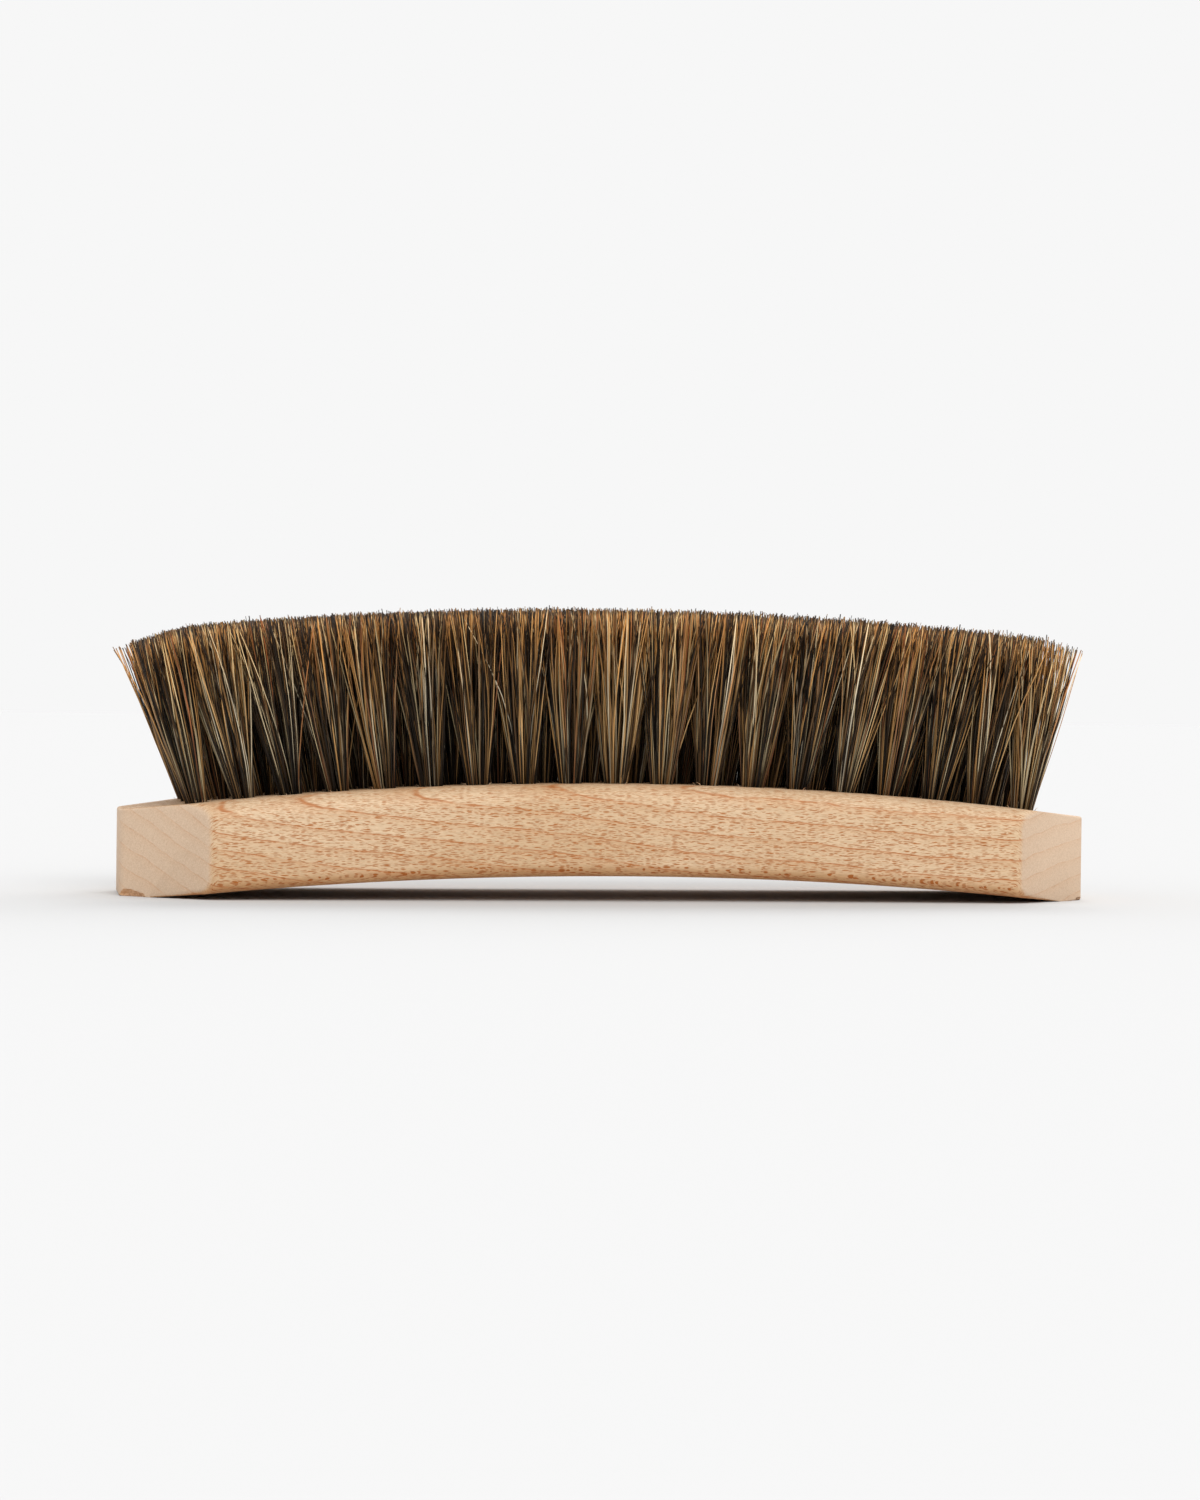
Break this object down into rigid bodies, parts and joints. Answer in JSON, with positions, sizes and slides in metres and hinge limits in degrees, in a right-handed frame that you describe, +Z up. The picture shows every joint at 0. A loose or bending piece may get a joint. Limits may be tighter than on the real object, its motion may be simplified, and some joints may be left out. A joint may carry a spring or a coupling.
{
  "type": "hand brush",
  "caption": "Palm-held bee brush: an arched beech block with sawn corners, set with staggered rows of horsehair tufts trimmed parallel to the arch.",
  "frame": {"origin": "under the middle of the block, on the surface that its two end lands rest on", "axes": "+X along the block, -Y is the front, +Z up to the bristle tips"},
  "size_m": [0.18, 0.0528, 0.0533],
  "materials": {
    "beech": "matte",
    "horsehair": "satin",
    "anchor_wire": "satin"
  },
  "bodies": {
    "root": {"beech_block": "beech", "tuft_back_01": "horsehair", "tuft_back_02": "horsehair", "tuft_back_03": "horsehair", "tuft_back_04": "horsehair", "tuft_back_05": "horsehair", "tuft_back_06": "horsehair", "tuft_back_07": "horsehair", "tuft_back_08": "horsehair", "tuft_back_09": "horsehair", "tuft_back_10": "horsehair", "tuft_back_11": "horsehair", "tuft_back_12": "horsehair", "tuft_back_13": "horsehair", "tuft_back_14": "horsehair", "tuft_back_15": "horsehair", "tuft_back_16": "horsehair", "tuft_back_17": "horsehair", "tuft_back_18": "horsehair", "tuft_back_19": "horsehair", "tuft_front_19": "horsehair", "tuft_front_pair_01": "horsehair", "tuft_front_pair_02": "horsehair", "tuft_front_pair_03": "horsehair", "tuft_front_pair_04": "horsehair", "tuft_front_pair_05": "horsehair", "tuft_front_pair_06": "horsehair", "tuft_front_pair_07": "horsehair", "tuft_front_pair_08": "horsehair", "tuft_front_pair_09": "horsehair", "tuft_front_pair_10": "horsehair", "tuft_front_pair_11": "horsehair", "tuft_front_pair_12": "horsehair", "tuft_front_pair_13": "horsehair", "tuft_front_pair_14": "horsehair", "tuft_front_pair_15": "horsehair", "tuft_front_pair_16": "horsehair", "tuft_front_pair_17": "horsehair", "tuft_front_pair_18": "horsehair", "tuft_middle_19": "horsehair", "tuft_middle_pair_01": "horsehair", "tuft_middle_pair_02": "horsehair", "tuft_middle_pair_03": "horsehair", "tuft_middle_pair_04": "horsehair", "tuft_middle_pair_05": "horsehair", "tuft_middle_pair_06": "horsehair", "tuft_middle_pair_07": "horsehair", "tuft_middle_pair_08": "horsehair", "tuft_middle_pair_09": "horsehair", "tuft_middle_pair_10": "horsehair", "tuft_middle_pair_11": "horsehair", "tuft_middle_pair_12": "horsehair", "tuft_middle_pair_13": "horsehair", "tuft_middle_pair_14": "horsehair", "tuft_middle_pair_15": "horsehair", "tuft_middle_pair_16": "horsehair", "tuft_middle_pair_17": "horsehair", "tuft_middle_pair_18": "horsehair"}
  },
  "joints": []
}
